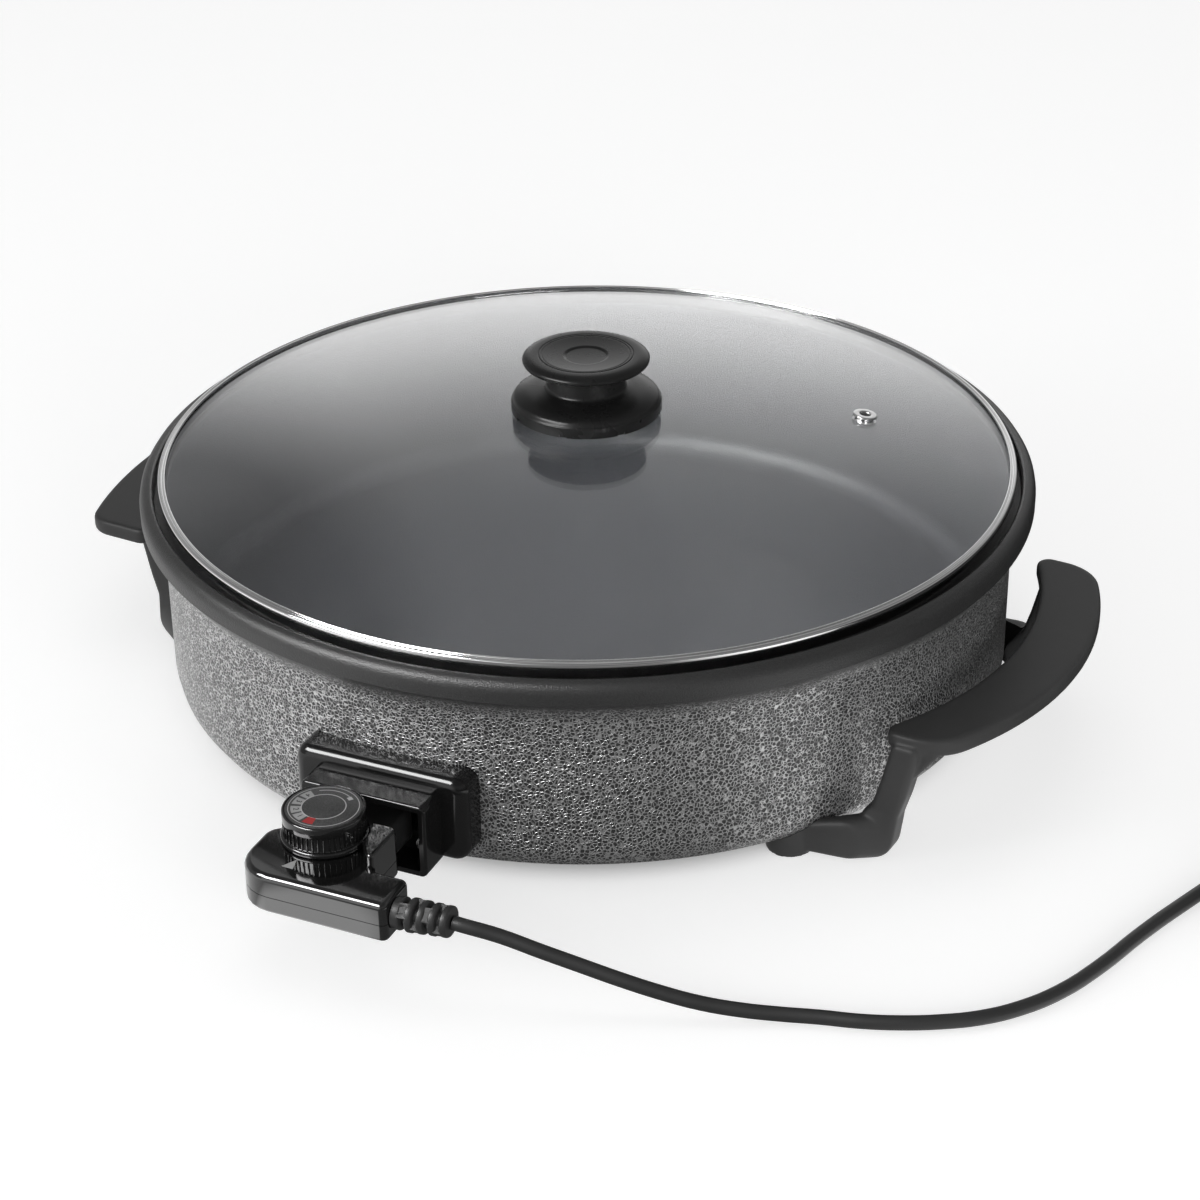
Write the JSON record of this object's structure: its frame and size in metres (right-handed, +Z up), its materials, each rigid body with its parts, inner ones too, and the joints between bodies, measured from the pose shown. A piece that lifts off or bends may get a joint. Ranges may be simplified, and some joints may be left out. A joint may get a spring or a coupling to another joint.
{
  "type": "electric skillet",
  "caption": "Deep round electric skillet with hammered body, loose glass lid with knob, two leg handles, plug-in thermostat with dial, and coiled cord.",
  "frame": {"origin": "centre of the bottom of the bounding box of everything but the cord, on the surface it stands on", "axes": "+Z up, -Y towards the thermostat controller's front, +X to the right seen from there"},
  "size_m": [0.7956, 0.4998, 0.1652],
  "materials": {
    "body_hammered": "hammered dark grey coating outside, smooth non-stick coating inside",
    "handle_plastic": "fine matt",
    "gloss_black": "polished",
    "dial_print": "fine matt with printed marks",
    "steel": "satin",
    "rim_band_steel": "polished",
    "lid_glass": "clear",
    "ceramic": "matt",
    "brass": "satin",
    "soft_black": "satin"
  },
  "bodies": {
    "base": {"pan": "body_hammered", "heating_element": "steel", "socket_housing": "gloss_black", "housing_screw_1": "steel", "housing_screw_2": "steel", "terminal_block": "ceramic", "terminal_pin_left": "steel", "terminal_pin_right": "steel", "probe_cup": "steel", "handle_right": "handle_plastic", "handle_left": "handle_plastic", "foot_screw_1": "steel", "foot_screw_2": "steel", "foot_screw_3": "steel", "foot_screw_4": "steel"},
    "lid": {"lid_glass": "lid_glass", "lid_rim_band": "rim_band_steel", "vent_grommet": "steel", "knob_skirt": "gloss_black", "knob_cap": "gloss_black", "gasket_upper": "soft_black", "gasket_lower": "soft_black", "knob_washer": "steel", "knob_insert": "brass", "knob_screw": "steel"},
    "controller": {"controller_top_shell": "gloss_black", "controller_bottom_shell": "gloss_black", "shell_screw_1": "steel", "shell_screw_2": "steel", "shell_screw_3": "steel", "controller_nose": "handle_plastic", "contact_sleeve_left": "brass", "contact_sleeve_right": "brass", "probe_rod": "steel", "thermostat_mechanism": "ceramic", "strain_relief": "soft_black", "cord_lead": "soft_black", "cord_coil": "soft_black", "cord_tail": "soft_black", "cord_tie": "soft_black", "plug_body": "soft_black", "plug_pin_left": "steel", "plug_pin_right": "steel", "plug_earth_clip_upper": "steel", "plug_earth_clip_lower": "steel"},
    "dial": {"dial": "gloss_black", "dial_plate": "dial_print", "dial_shaft": "steel", "dial_clip": "steel"}
  },
  "joints": [
    {"name": "lid_lift", "type": "slide", "parent": "base", "child": "lid", "axis": [0, 0, 1], "range_m": [0, 0.12]},
    {"name": "controller_unplug", "type": "slide", "parent": "base", "child": "controller", "axis": [0, -1, 0], "range_m": [0, 0.06]},
    {"name": "dial_turn", "type": "hinge", "parent": "controller", "child": "dial", "pos_m": [-0.0104, -0.2129, 0.05], "axis": [0, 0, 1], "range_deg": [0, 215]}
  ]
}
